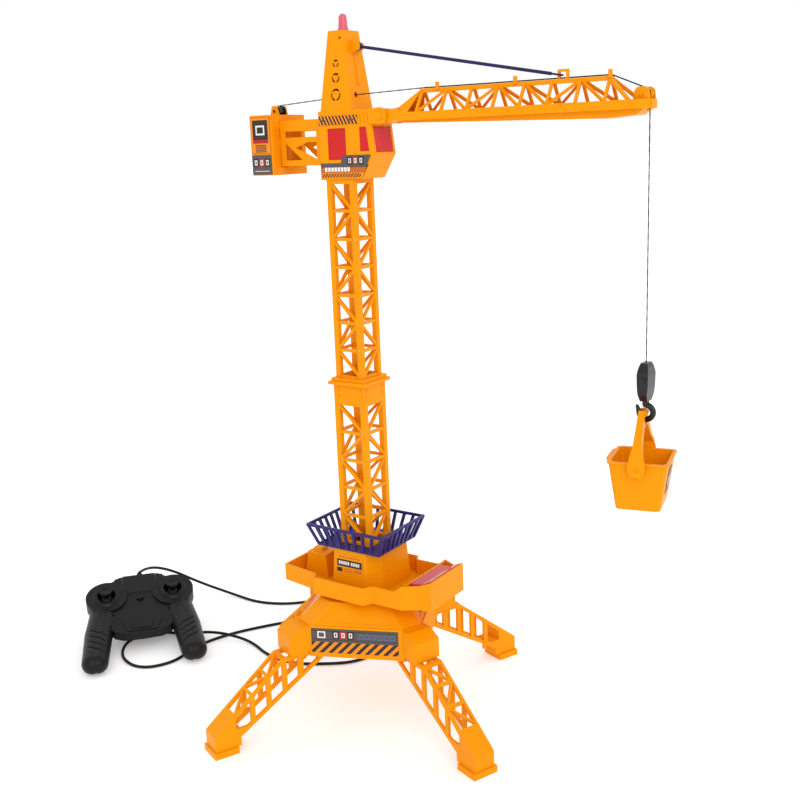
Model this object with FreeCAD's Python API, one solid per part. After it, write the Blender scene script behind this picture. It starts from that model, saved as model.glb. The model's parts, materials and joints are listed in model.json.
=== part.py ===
import FreeCAD, Part
import math
import os

# Toy tower crane, all sizes in millimetres. Z is up from the floor and X runs along the jib.

V = FreeCAD.Vector
UP = V(0, 0, 1)
ALONG_Y = V(0, 1, 0)
FIT = 0.05          # radial clearance of a running shaft
GAP = 0.3           # gap between parts that move past each other

# Lengths are measured from the slewing axis. This moves the finished model so that the origin is
# on the floor at the centre of its outline.
ROW_SHIFT = V(40.98, -1.05, 0)

# Base
BASE_YAW = 22.5
BASE_HALF = 70.0
BASE_BOTTOM = 88.0
BASE_SHOULDER = 122.0
BASE_TOP = 141.0
RACE_TOP = 145.0
HUB_R = 20.0
LEG_HEADINGS = {"leg_front_left": -136.5, "leg_front_right": -43.7, "leg_back_right": 45.3,
                "leg_back_left": 136}
LEG_HALF = 12.5
LEG_TOP = 91.4
LEG_BEND = 118.0
FOOT_END = 203.0
PAD_R = 191.0
HOUSING_BOTTOM = 92.0
HOUSING_END = 110.0
GEAR_Z = 120.0
GEAR_TEETH = 48
PINION_TEETH = 12
GEAR_MODULE = 1.5
PINION_AT = GEAR_MODULE * (GEAR_TEETH + PINION_TEETH) / 2

# Slewing platform
DECK_BOTTOM = 145.5
DECK_FLOOR = 148.0
DECK_RIM = 165.0
NOSE_END = 105.0
NOSE_TOP = 178.0
PEDESTAL_TOP = 196.0
RAIL_TOP = 222.0

# Mast
LOWER_HALF = 20.0
UPPER_HALF = 17.6
SPLIT_Z = 383.0
LOWER_LEVELS = [199.5 + 31.7 * k for k in range(6)]
UPPER_LEVELS = [387.4 + 29.45 * k for k in range(8)]
LOWER_SCREWS = [(-14.5, 294.6), (14.5, 326.3), (-14.5, 231.2)]
UPPER_SCREWS = [(14, 534.65), (13, 416.85)]
MAST_TOP = 596.0

# Cab, tower head and counter-jib
CAB_HALF = 19.0
CAB_BACK = -23.0
CAB_TOP = 665.0
HEAD_TOP = 743.0
LAMP_TOP = 760.0
BOX_BACK = -108.0
BOX_FRONT = -78.5
BOX_HALF = 29.0
BOX_BOTTOM = 602.0
BOX_TOP = 664.5
ROLLER = V(-90, 0, 668.5)
DRUM = V(-89, 0, 632)

# Jib, tie rod and hoist
LUFF = V(53, 0, 658)
JIB_NODES = [94 + 28 * k for k in range(8)]
CHORD_TOP = 681.6
TIE_ROOT = V(18, 0, 727)
TIE_TIP = V(240, 0, 685.5)
PULLEY = V(321.5, 0, 664)
PULLEY_GROOVE = 5.0
ROPE_R = 0.6
ROPE_Y = 2.2
FALL_X = PULLEY.x + PULLEY_GROOVE
BLOCK_TOP = 427.0
BLOCK_BOTTOM = 391.0
THROAT = V(327, 0, 380)
BUCKET_YAW = 12.0
BUCKET_TOP = 338.0
BUCKET_BOTTOM = 292.0
PIN_Z = 333.6
BAIL_X = -2.6
BUCKET_SHIFT = BAIL_X + 0.27

# Controller
PAD_BODY_TOP = -2.2
GRIP_SPREAD = 3.6
GRIP_MIDDLE_R = 14.2
GRIP_MIDDLE_Z = -7.8
GRIP_END_R = 12.8
GRIP_END_Y = -116.0
GRIP_END_Z = 2.0
PAD_ORIGIN = V(-379.3, -3.0, 0)
PAD_HEADING = 48.2
PAD_TILT = 22.0
PAD_FACE_Z = 55.5
STICK_X = 43.4
STICK_PIVOT = -8.0
PAD_SCREWS = [(-36, -30), (36, -30)]
CABLE_R = 1.9
GLAND_AT = V(-17, 58, 87)
CABLE_ROUTE = [
    V(-414.4, 30.6, 65.9), V(-429, 58, 62), V(-421, 92, 48), V(-392, 122, 22), V(-352, 148, 2.2),
    V(-300, 143, 2), V(-256, 162, 2), V(-228, 196, 2), V(-196, 176, 2), V(-206, 134, 2),
    V(-240, 90, 2), V(-270, 40, 2), V(-281, -8, 2), V(-272, -52, 2), V(-298, -88, 2),
    V(-346, -76, 2), V(-376, -34, 2), V(-356, 4, 2), V(-320, 15, 2), V(-286, 24, 9.8),
    V(-256, 32, 9.8), V(-224, 42, 2), V(-182, 22, 2), V(-138, 20, 2), V(-104, 38, 2),
    V(-72, 62, 2), V(-62, 100, 2), V(-24, 104, 14), V(-17, 58, 42), V(-17, 58, 84),
]


# Shape helpers

def box(x0, x1, y0, y1, z0, z1):
    return Part.makeBox(x1 - x0, y1 - y0, z1 - z0, V(x0, y0, z0))


def cyl(radius, start, end):
    axis = end - start
    return Part.makeCylinder(radius, axis.Length, start, axis)


def cone(radius0, radius1, start, end):
    axis = end - start
    return Part.makeCone(radius0, radius1, axis.Length, start, axis)


def ring(outer, inner, start, end):
    return cyl(outer, start, end).cut(cyl(inner, start, end))


def prism(points, vector):
    return Part.Face(Part.makePolygon(points + [points[0]])).extrude(vector)


def slab_y(points, y0, y1):
    return prism([V(x, y0, z) for x, z in points], V(0, y1 - y0, 0))


def slab_z(points, z0, z1):
    return prism([V(x, y, z0) for x, y in points], V(0, 0, z1 - z0))


def slab_x(points, x0, x1):
    return prism([V(x0, y, z) for y, z in points], V(x1 - x0, 0, 0))


def bar(start, end, width, depth, across):
    """Square-edged bar from start to end; width runs along across."""
    axis = end - start
    side = V(across).normalize() * (width / 2)
    other = axis.cross(side).normalize() * (depth / 2)
    return prism([start - side - other, start + side - other, start + side + other, start - side + other],
                 axis)


def stadium(start, end, radius, thickness, normal):
    """Flat plate with round ends about start and end."""
    half = V(normal).normalize() * (thickness / 2)
    across = (end - start).cross(normal)
    ends = [cyl(radius, point - half, point + half) for point in (start, end)]
    return fuse(ends + [bar(start, end, 2 * radius, thickness, across)])


def polygon_wire(points, z):
    corners = [V(x, y, z) for x, y in points]
    return Part.makePolygon(corners + [corners[0]])


def loft(lower, z0, upper, z1):
    return Part.makeLoft([polygon_wire(lower, z0), polygon_wire(upper, z1)], True, True)


def rectangle(half_x, half_y):
    return [(-half_x, -half_y), (half_x, -half_y), (half_x, half_y), (-half_x, half_y)]


def mirror_y(points):
    return points + [(x, -y) for x, y in reversed(points)]


def fuse(shapes):
    whole = shapes[0]
    if len(shapes) > 1:
        whole = whole.multiFuse(shapes[1:])
    return whole.removeSplitter()


def cut(shape, tools):
    return shape.cut(Part.makeCompound(tools)) if tools else shape


def turned(shape, angle, centre=None, axis=UP):
    copy = shape.copy()
    copy.rotate(centre or V(0, 0, 0), axis, angle)
    return copy


def flipped_y(shape):
    return shape.mirror(V(0, 0, 0), ALONG_Y)


def both_sides(shape):
    return [shape, flipped_y(shape)]


def save(name, shape):
    shapes = shape if isinstance(shape, list) else [shape]
    solids = [solid for part in shapes for solid in part.Solids]
    body = solids[0] if len(solids) == 1 else Part.makeCompound(solids)
    body.translate(ROW_SHIFT)
    body.exportStep(f"parts/{name}.step")


# Cords: straight runs joined by tangent arcs

def path_wire(points, bend=None):
    edges = []
    here = points[0]
    radii = []
    for before, corner, after in zip(points, points[1:], points[2:]):
        inward = (corner - before).normalize()
        outward = (after - corner).normalize()
        turn = inward.getAngle(outward)
        shorter = min((corner - before).Length, (after - corner).Length)
        reach = bend * math.tan(turn / 2) if bend else 0.45 * shorter
        radius = reach / math.tan(turn / 2)
        radii.append(radius)
        start = corner - inward * reach
        end = corner + outward * reach
        centre_way = (outward - inward).normalize()
        middle = corner + centre_way * (radius / math.cos(turn / 2) - radius)
        edges.append(Part.LineSegment(here, start).toShape())
        edges.append(Part.Arc(start, middle, end).toShape())
        here = end
    edges.append(Part.LineSegment(here, points[-1]).toShape())
    return Part.Wire(edges), radii


def tube(points, radius, bend=None):
    path, radii = path_wire(points, bend)
    section = Part.Wire(Part.makeCircle(radius, points[0], points[1] - points[0]))
    body = path.makePipeShell([section], True, False)
    return body, path, radii


# Base

def in_base(shape, angle=0.0):
    return turned(shape, BASE_YAW + angle)


def chamfered_square(half, corner):
    flat = half - corner
    return [(-flat, -half), (flat, -half), (half, -flat), (half, flat),
            (flat, half), (-flat, half), (-half, flat), (-half, -flat)]


def corner_pocket(z0, z1, half, inner, outer):
    pocket = box(inner, outer, -half, half, z0, z1)
    return [turned(pocket, angle) for angle in LEG_HEADINGS.values()]


def housing(half, outer, z0, wall):
    """One corner housing along +X, its roof sloping up to the body."""
    profile = [(60, z0), (outer, z0), (outer, 113.6 - wall), (95 - wall, 121 - wall), (60, 121 - wall)]
    return slab_y(profile, -half, half)


def base_shell():
    wall = 2.5
    body = slab_z(chamfered_square(BASE_HALF, 17), BASE_BOTTOM, BASE_SHOULDER)
    crown = loft(chamfered_square(68, 17), BASE_SHOULDER, chamfered_square(48, 15), BASE_TOP)
    deck_ring = cyl(45, V(0, 0, BASE_TOP), V(0, 0, RACE_TOP))
    housings = [turned(housing(15.6, HOUSING_END, HOUSING_BOTTOM, 0), angle)
                for angle in LEG_HEADINGS.values()]
    outside = fuse([body, crown, deck_ring] + housings)
    hollow = slab_z(chamfered_square(BASE_HALF - wall, 16), BASE_BOTTOM - 1, BASE_SHOULDER - 2)
    hollow_crown = loft(chamfered_square(64.5, 15.5), BASE_SHOULDER - 2.5, chamfered_square(46, 13.5),
                        BASE_TOP - 3)
    hollow = fuse([hollow, hollow_crown])
    pockets = [turned(housing(13.0, HOUSING_END - wall, 87, wall), angle) for angle in LEG_HEADINGS.values()]
    hub_hole = cyl(HUB_R + FIT, V(0, 0, BASE_TOP - 4), V(0, 0, RACE_TOP + 1))
    race_groove = ring(40, 30, V(0, 0, 143.5), V(0, 0, RACE_TOP + 1))
    shell = cut(outside, [hollow, hub_hole, race_groove] + pockets)
    bosses = []
    for angle in LEG_HEADINGS.values():
        bosses.append(turned(ring(4, 1.5, V(93, 0, 101), V(93, 0, 117.4)), angle))
    for x in (-58, 58):
        for y in (-28, 28):
            bosses.append(ring(4, 1.5, V(x, y, BASE_BOTTOM), V(x, y, 127)))
    shell = fuse([shell] + bosses)
    panels = []
    for k in range(4):
        panel = slab_x([(-40, 124.5), (40, 124.5), (30, 138), (-30, 138)], 0, 80)
        face = loft([(-90, -90), (67.2, -90), (67.2, 90), (-90, 90)], BASE_SHOULDER,
                    [(-90, -90), (47.2, -90), (47.2, 90), (-90, 90)], BASE_TOP)
        panels.append(turned(panel.cut(face), 90 * k))
    return in_base(cut(shell, panels))


def base_cover():
    plate = slab_z(chamfered_square(BASE_HALF - 0.4, 17), BASE_BOTTOM - 2, BASE_BOTTOM)
    holes = corner_pocket(BASE_BOTTOM - 3, BASE_BOTTOM + 1, 13.5, 67, 120)
    for x in (-58, 58):
        for y in (-28, 28):
            holes.append(cyl(1.6, V(x, y, BASE_BOTTOM - 3), V(x, y, BASE_BOTTOM + 1)))
    gland_hole = cyl(5, GLAND_AT - UP * 3, GLAND_AT + UP * 3)
    return in_base(cut(plate, holes)).cut(gland_hole)


def screw(at, head_way, length, radius=1.5, head=2.8):
    way = V(head_way).normalize()
    shank = cyl(radius, at, at - way * length)
    cap = cyl(head, at, at + way * 1.6)
    slot = bar(at + way * 2.2 - V(way.y, way.z, way.x) * 2, at + way * 2.2 + V(way.y, way.z, way.x) * 2,
               1.6, 0.9, way)
    return fuse([shank, cap]).cut(slot)


def upper_line(r):
    """Top of the sloping chord; level from the base to the bend."""
    return min(LEG_TOP, LEG_TOP - (r - LEG_BEND) * (LEG_TOP - 30) / (FOOT_END - 7 - LEG_BEND))


def lower_line(r):
    return 78 - (r - 71) * 64 / (FOOT_END - 26 - 71)


def leg_side():
    """Side frame of a leg in its own radial plane, with the openings between its uprights."""
    chord = 5.0
    block = FOOT_END - 30
    outline = [(70, LEG_TOP), (70, lower_line(70)), (block, lower_line(block)), (block, 7), (FOOT_END, 7),
               (FOOT_END, 24), (FOOT_END - 7, 30), (LEG_BEND, LEG_TOP)]
    side = slab_y(outline, LEG_HALF - 3, LEG_HALF)
    windows = [[(76, lower_line(76) + chord), (94, lower_line(94) + chord), (94, LEG_TOP - chord),
                (76, LEG_TOP - chord)]]
    for r0, r1 in ((100.5, 114.5), (120, 134.5), (140, 154.5)):
        windows.append([(r0, lower_line(r0) + chord), (r1, lower_line(r1) + chord),
                        (r1, upper_line(r1) - chord), (r0, upper_line(r0) - chord)])
    windows.append([(160, lower_line(160) + chord), (block - 8, 27), (block + 13, 27), (block + 13, 31),
                    (160, upper_line(160) - chord)])
    return cut(side, [slab_y(window, 0, 40) for window in windows])


def leg():
    slope = V(FOOT_END - 7 - LEG_BEND, 0, 30 - LEG_TOP).normalize()
    lift = V(-slope.z, 0, slope.x)
    inner = LEG_HALF - 2

    def on_top(r, y):
        return V(r, y, upper_line(r)) - lift * 1.5

    pieces = both_sides(leg_side())
    pieces.append(box(LEG_BEND - 3.5, LEG_BEND + 1, -inner, inner, LEG_TOP - 4, LEG_TOP))
    for r in (137.5, 157.5):
        pieces.append(bar(on_top(r, -inner), on_top(r, inner), 4, 3, slope))
    for start, end, way in ((LEG_BEND, 137.5, 1), (137.5, 157.5, -1), (157.5, FOOT_END - 25, 1)):
        pieces.append(bar(on_top(start, -way * inner), on_top(end, way * inner), 3.4, 2.6,
                          slope.cross(ALONG_Y)))
    pieces.append(box(84, 104, -LEG_HALF, LEG_HALF, LEG_TOP - 4, 100))
    pieces.append(box(70, 76, -LEG_HALF, LEG_HALF, 79, LEG_TOP))
    block = FOOT_END - 30
    shoe = slab_y([(block, 7), (FOOT_END, 7), (FOOT_END, 24), (FOOT_END - 7, 30),
                   (block + 5, upper_line(block + 5)),
                   (block + 5, 27), (block, 27)], -LEG_HALF, LEG_HALF)
    pieces.append(shoe.cut(box(block + 3, FOOT_END - 3, -LEG_HALF + 3, LEG_HALF - 3, 6, 24)))
    pad = box(PAD_R - 14, PAD_R + 14, -15, 15, 0, 7)
    pieces.append(pad.cut(box(PAD_R - 11, PAD_R + 11, -12, 12, 2.5, 8)))
    return cut(fuse(pieces), [cyl(1.6, V(93, 0, 80), V(93, 0, 110))])


def back_right_leg():
    peg = box(153, 157, -LEG_HALF - 1, -LEG_HALF + 2, 22, 31)
    return fuse([leg(), peg])


def leg_screws():
    return [in_base(screw(V(93, 0, LEG_TOP - 4), -UP, 26), angle) for angle in LEG_HEADINGS.values()]


def cover_screws():
    return [in_base(screw(V(x, y, BASE_BOTTOM - 2), -UP, 12)) for x in (-58, 58) for y in (-28, 28)]


def gear_outline(teeth, phase, backlash=0.35):
    pitch = GEAR_MODULE * teeth / 2
    root = pitch - 1.25 * GEAR_MODULE
    tip = pitch + GEAR_MODULE * 0.9
    flank = math.tan(math.radians(20))
    half = math.pi / 2 / teeth - backlash / 2 / pitch
    at_root = half + (pitch - root) * flank / pitch
    at_tip = half - (tip - pitch) * flank / pitch
    points = []
    for tooth in range(teeth):
        middle = phase + tooth * 2 * math.pi / teeth
        for radius, angle in ((root, -at_root), (tip, -at_tip), (tip, at_tip), (root, at_root)):
            points.append((radius * math.cos(middle + angle), radius * math.sin(middle + angle)))
    return points


def slew_gear():
    wheel = slab_z(gear_outline(GEAR_TEETH, 0), GEAR_Z, GEAR_Z + 7)
    hub = cyl(HUB_R, V(0, 0, GEAR_Z + 7), V(0, 0, DECK_BOTTOM))
    body = fuse([wheel, hub]).cut(cyl(8, V(0, 0, GEAR_Z - 1), V(0, 0, 150)))
    return in_base(body)


def slew_pinion():
    wheel = slab_z(gear_outline(PINION_TEETH, math.pi / PINION_TEETH), GEAR_Z, GEAR_Z + 7)
    shaft = cyl(1.5, V(0, 0, GEAR_Z - 12), V(0, 0, GEAR_Z + 8))
    body = fuse([wheel, shaft])
    body.translate(V(PINION_AT, 0, 0))
    return in_base(body)


def slew_motor():
    can = cyl(12, V(PINION_AT, 0, GEAR_Z - 28), V(PINION_AT, 0, GEAR_Z - 5))
    nose = cyl(5, V(PINION_AT, 0, GEAR_Z - 5), V(PINION_AT, 0, GEAR_Z - 1))
    body = fuse([can, nose]).cut(cyl(1.5 + FIT, V(PINION_AT, 0, GEAR_Z - 12.5), V(PINION_AT, 0, GEAR_Z)))
    return in_base(body)


def motor_bracket():
    top = GEAR_Z - 3
    plate = box(PINION_AT - 20, PINION_AT + 12, -18, 18, top - 2, top)
    legs = [box(PINION_AT - 20, PINION_AT + 12, y, y + 2, BASE_BOTTOM, top - 2) for y in (-18, 16)]
    body = fuse([plate] + legs)
    return in_base(body.cut(cyl(5.02, V(PINION_AT, 0, top - 3), V(PINION_AT, 0, top + 1))))


def turntable_race():
    return ring(39.8, 30.2, V(0, 0, 143.5), V(0, 0, RACE_TOP + 0.2))


def crown_face(z):
    """Distance from the axis to the floor of a crown's recessed panel."""
    return 67.2 - (z - BASE_SHOULDER) * 20 / (BASE_TOP - BASE_SHOULDER)


def base_labels():
    front = box(-50, 47, -BASE_HALF - 0.3, -BASE_HALF, 91.5, 119.5)
    low, high = (crown_face(z) for z in (125, 137.5))
    crown = slab_y([(low, 125), (low + 0.3, 125), (high + 0.3, 137.5), (high, 137.5)], -28, 28)
    return [in_base(front), in_base(crown)]


# Slewing platform

DECK_SIDE = [(-90, -38), (-41, -46), (-35, -56), (32, -56), (38, -46), (75, -46), (92, -36), (NOSE_END, -34)]


def deck_tray():
    wall = 2.2
    outline = mirror_y(DECK_SIDE)
    outside = slab_z(outline, DECK_BOTTOM, NOSE_TOP)
    above = slab_y([(-100, DECK_RIM), (66, DECK_RIM), (75, 172), (92, 172.5), (NOSE_END, NOSE_TOP - 0.5),
                    (120, NOSE_TOP), (120, 200), (-100, 200)], -70, 70)
    floor_face = Part.Face(polygon_wire(outline, DECK_FLOOR))
    inside = floor_face.makeOffset2D(-wall).extrude(V(0, 0, 60))
    tray = cut(outside, [above, inside])
    bulkhead = box(74.5, 76.7, -44, 44, DECK_FLOOR, 171)
    ledges = [box(76.7, NOSE_END - 2.2, s * 32.4 - 1.6, s * 32.4 + 1.6, DECK_FLOOR, 165) for s in (-1, 1)]
    chute = slab_y([(-35, DECK_FLOOR), (-35, 160), (-40, DECK_FLOOR)], -52, -46)
    body = fuse([tray, bulkhead] + ledges)
    holes = [cyl(8, V(0, 0, DECK_BOTTOM - 1), V(0, 0, DECK_FLOOR + 1))]
    return cut(body, holes + [chute])


def deck_console():
    body = loft([(-80, -13), (-46, -15), (-46, 15), (-80, 13)], DECK_FLOOR,
                [(-77, -11), (-50, -13), (-50, 13), (-77, 11)], 174)
    hollow = box(-75, -53, -10, 10, DECK_FLOOR, 170)
    step = loft([(-73, -6), (-60, -6), (-60, 6), (-73, 6)], 174, [(-72, -5), (-61, -5), (-61, 5), (-72, 5)],
                178)
    return fuse([body.cut(hollow), step])


def nose_window():
    profile = [(77, 165.2), (NOSE_END - 2.6, 165.2), (NOSE_END - 2.6, 177.4), (92, 172.6), (77, 171)]
    outer = slab_y(profile, -31.5, 31.5)
    inner = slab_y([(79, 164), (NOSE_END - 4.6, 164), (NOSE_END - 4.6, 174.4), (91.6, 170.6), (79, 169)],
                   -29.5, 29.5)
    return outer.cut(inner)


def pedestal():
    lower = [(-23, -36), (23, -36), (34, -18), (34, 36), (-34, 36), (-34, -18)]
    upper = [(-21, -33), (21, -33), (31, -16), (31, 33), (-31, 33), (-31, -16)]
    outside = loft(lower, DECK_FLOOR, upper, PEDESTAL_TOP)
    inside = loft([(x * 0.92, y * 0.92) for x, y in lower], DECK_FLOOR - 0.1,
                  [(x * 0.92, y * 0.92) for x, y in upper], PEDESTAL_TOP - 3)
    socket = box(-LOWER_HALF - 0.1, LOWER_HALF + 0.1, -LOWER_HALF - 0.1, LOWER_HALF + 0.1, 180, 200)
    grooves = []
    middle = V(28.2, -26.6, 0)
    way = V(18, 11, 0).normalize()
    for k in range(5):
        z = 158 + 6 * k
        groove = bar(middle + V(0, 0, z) - V(11, 18, 0).normalize() * 6,
                     middle + V(0, 0, z) + V(11, 18, 0).normalize() * 6,
                     2.4, 2.6, way)
        grooves.append(groove)
    return cut(outside, [inside, socket] + grooves)


def pedestal_label():
    lean = 3 / (PEDESTAL_TOP - DECK_FLOOR)
    y0 = -36 + lean * (168 - DECK_FLOOR)
    y1 = -36 + lean * (190 - DECK_FLOOR)
    return slab_x([(y0, 168), (y1, 190), (y1 - 0.3, 190), (y0 - 0.3, 168)], -18, 18)


def railing_basket():
    z0 = PEDESTAL_TOP
    foot = (42, 36)
    rim = (51, 43)
    floor = box(-foot[0], foot[0], -foot[1], foot[1], z0, z0 + 2)
    floor = floor.cut(box(-LOWER_HALF - 0.2, LOWER_HALF + 0.2, -LOWER_HALF - 0.2, LOWER_HALF + 0.2, z0 - 1,
                          z0 + 3))
    rail = box(-rim[0], rim[0], -rim[1], rim[1], RAIL_TOP - 3, RAIL_TOP)
    rail = rail.cut(box(-rim[0] + 2.4, rim[0] - 2.4, -rim[1] + 2.4, rim[1] - 2.4, RAIL_TOP - 4, RAIL_TOP + 1))
    slats = []
    count = 8
    for k in range(count + 1):
        part = 2 * k / count - 1
        for sign in (-1, 1):
            low = V(part * (foot[0] - 1.3), sign * (foot[1] - 1.2), z0 + 1)
            high = V(part * (rim[0] - 1.3), sign * (rim[1] - 1.2), RAIL_TOP - 1.5)
            slats.append(bar(low, high, 3.4, 2.2, V(1, 0, 0)))
            if 0 < k < count:
                low = V(sign * (foot[0] - 1.2), part * (foot[1] - 1.3), z0 + 1)
                high = V(sign * (rim[0] - 1.2), part * (rim[1] - 1.3), RAIL_TOP - 1.5)
                slats.append(bar(low, high, 3.4, 2.2, V(0, 1, 0)))
    return fuse([floor, rail] + slats)


# Mast

def lattice(half, levels, post, top, bottom, web):
    """Square lattice tower: corner posts, a ring of cross bars at each level and one diagonal in each bay."""
    pieces = []
    reach = half - post / 2
    for x in (-reach, reach):
        for y in (-reach, reach):
            pieces.append(box(x - post / 2, x + post / 2, y - post / 2, y + post / 2, bottom, top))
    face = half - web / 2 - 0.4
    for turn in range(4):
        for level in levels:
            rung = bar(V(-reach, -face, level), V(reach, -face, level), web, 3.2, ALONG_Y)
            pieces.append(turned(rung, 90 * turn))
        for bay, (low, high) in enumerate(zip(levels, levels[1:])):
            side = 1 if (len(levels) + bay + turn) % 2 else -1
            brace = bar(V(-side * reach, -face, low), V(side * reach, -face, high), web, 3.0, ALONG_Y)
            pieces.append(turned(brace, 90 * turn))
    return pieces


def mast_lower():
    pieces = lattice(LOWER_HALF, LOWER_LEVELS, 6.2, SPLIT_Z, DECK_FLOOR, 3.0)
    foot = box(-LOWER_HALF, LOWER_HALF, -LOWER_HALF, LOWER_HALF, DECK_FLOOR, 158)
    band = box(-LOWER_HALF, LOWER_HALF, -LOWER_HALF, LOWER_HALF, 358, 379.5)
    flange = box(-24.3, 24.3, -24.3, 24.3, 379.5, SPLIT_Z)
    body = fuse(pieces + [foot, band, flange])
    hollows = [box(-16.5, 16.5, -16.5, 16.5, DECK_FLOOR - 1, 159),
               box(-16.5, 16.5, -16.5, 16.5, 350, SPLIT_Z + 1)]
    bumps = []
    for turn in range(4):
        for x in (-15, 15):
            for z in (366, 373.5):
                bumps.append(turned(cyl(1.9, V(x, -LOWER_HALF - 1.0, z), V(x, -LOWER_HALF + 1, z)),
                                    90 * turn))
    bosses = [cyl(3.1, V(x, -LOWER_HALF, z), V(x, -LOWER_HALF + 3.4, z)) for x, z in LOWER_SCREWS]
    bores = [cyl(1.5, V(x, -LOWER_HALF - 1, z), V(x, -LOWER_HALF + 4, z)) for x, z in LOWER_SCREWS]
    return cut(fuse([cut(body, hollows)] + bumps + bosses), bores)


def mast_upper():
    pieces = lattice(UPPER_HALF, UPPER_LEVELS, 5.8, MAST_TOP, SPLIT_Z, 2.8)
    flange = box(-21.5, 21.5, -21.5, 21.5, SPLIT_Z, SPLIT_Z + 3.6)
    collar = box(-UPPER_HALF, UPPER_HALF, -UPPER_HALF, UPPER_HALF, 591.6, MAST_TOP)
    body = fuse(pieces + [flange, collar])
    hollows = [box(-14.4, 14.4, -14.4, 14.4, SPLIT_Z - 1, SPLIT_Z + 4),
               box(-14, 14, -14, 14, 591, MAST_TOP + 1)]
    bosses = [cyl(3.0, V(x, -UPPER_HALF, z), V(x, -UPPER_HALF + 3.2, z)) for x, z in UPPER_SCREWS]
    bores = [cyl(1.5, V(x, -UPPER_HALF - 1, z), V(x, -UPPER_HALF + 4, z)) for x, z in UPPER_SCREWS]
    return cut(fuse([cut(body, hollows)] + bosses), bores)


def mast_screws():
    screws = []
    for half, places in ((LOWER_HALF, LOWER_SCREWS), (UPPER_HALF, UPPER_SCREWS)):
        for x, z in places:
            screws.append(cyl(1.48, V(x, -half + 1, z), V(x, -half + 3.9, z)))
    return screws


def mast_wire():
    return [cyl(0.9, V(x, 3, 120), V(x, 3, 606)) for x in (-2.2, 2.2)]


# Cab

CAB_PROFILE = [(CAB_BACK, 596), (31, 596.5), (46, 620.5), (42.3, 650), (44.5, 652), (44.5, CAB_TOP),
               (CAB_BACK, CAB_TOP)]
SIDE_WINDOWS = [
    [(-12.3, 616), (10.8, 616), (10.8, 647.5), (-12.3, 647.5)],
    [(28, 624), (39.5, 624), (36.5, 648), (28, 648)],
]


def cab_shell(side):
    wall = 2.2
    outside = slab_y(CAB_PROFILE, 0, CAB_HALF)
    profile = Part.Face(Part.makePolygon([V(x, 0, z) for x, z in CAB_PROFILE + [CAB_PROFILE[0]]]))
    inner = profile.makeOffset2D(-wall).extrude(V(0, CAB_HALF - wall, 0))
    screen_hole = slab_y([(38, 622.5), (60, 622.5), (60, 648), (36, 648)], 0, 15.5)
    openings = [slab_y(window, CAB_HALF - 4, CAB_HALF + 1) for window in SIDE_WINDOWS]
    wire_hole = box(-8, 8, 0, 8, 590, 600)
    back_hole = box(CAB_BACK - 1, CAB_BACK + 4, 0, 8, 622, 634)
    shell = cut(outside, [inner, screen_hole, wire_hole, back_hole] + openings)
    ear = fuse([cyl(8, V(LUFF.x, 16.3, LUFF.z), V(LUFF.x, 20, LUFF.z)),
                slab_y([(40, 650.5), (LUFF.x, 650.2), (LUFF.x, 665.8), (40, CAB_TOP)], 16.3, 20)])
    teeth = []
    for k in range(4):
        x = 26.5 + 4.6 * k
        teeth.append(slab_y([(x, 652), (x + 4.2, 652), (x + 2.1, 662)], CAB_HALF, CAB_HALF + 0.8))
    body = fuse([shell, ear] + teeth)
    body = body.cut(cyl(3, V(LUFF.x, 10, LUFF.z), V(LUFF.x, 30, LUFF.z)))
    return body if side > 0 else flipped_y(body)


def cab_windscreen():
    screen = slab_y([(44.0, 622.8), (45.6, 622.8), (42.4, 647.7), (40.8, 647.7)], -15.3, 15.3)
    return screen


def cab_side_windows():
    panes = []
    for window in SIDE_WINDOWS:
        x_middle = sum(x for x, z in window) / 4
        z_middle = sum(z for x, z in window) / 4
        pane = [(x_middle + (x - x_middle) * 0.985, z_middle + (z - z_middle) * 0.985) for x, z in window]
        panes += both_sides(slab_y(pane, CAB_HALF - 2, CAB_HALF - 0.8))
    return panes


def cab_labels():
    upper = slab_y([(CAB_BACK + 1, 651), (25, 651), (25, 660), (CAB_BACK + 1, 660)], CAB_HALF, CAB_HALF + 0.3)
    lower = slab_y([(CAB_BACK + 1, 598), (30, 598), (38, 611), (CAB_BACK + 1, 611)], CAB_HALF, CAB_HALF + 0.3)
    return both_sides(upper) + both_sides(lower)


def jib_hinge_pin():
    pin = cyl(3.0, V(LUFF.x, -20, LUFF.z), V(LUFF.x, 20, LUFF.z))
    heads = [cyl(4.4, V(LUFF.x, y, LUFF.z), V(LUFF.x, y + 1.2, LUFF.z)) for y in (-21.2, 20)]
    return fuse([pin] + heads)


# Tower head

def head_half_y(z):
    return 19.2 - (z - CAB_TOP) * 6 / (HEAD_TOP - CAB_TOP)


def vent(z, radius):
    """Three-arc ring vent cut through the -Y face."""
    y0 = -head_half_y(z) - 1
    y1 = y0 + 5
    outer = ring(radius, radius - 2.1, V(0, y0, z), V(0, y1, z))
    spokes = []
    for k in range(3):
        spoke = box(-0.8, 0.8, y0 - 1, y1 + 1, z, z + radius + 1)
        spokes.append(turned(spoke, 120 * k + 60, V(0, 0, z), ALONG_Y))
    return cut(outer, spokes)


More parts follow.
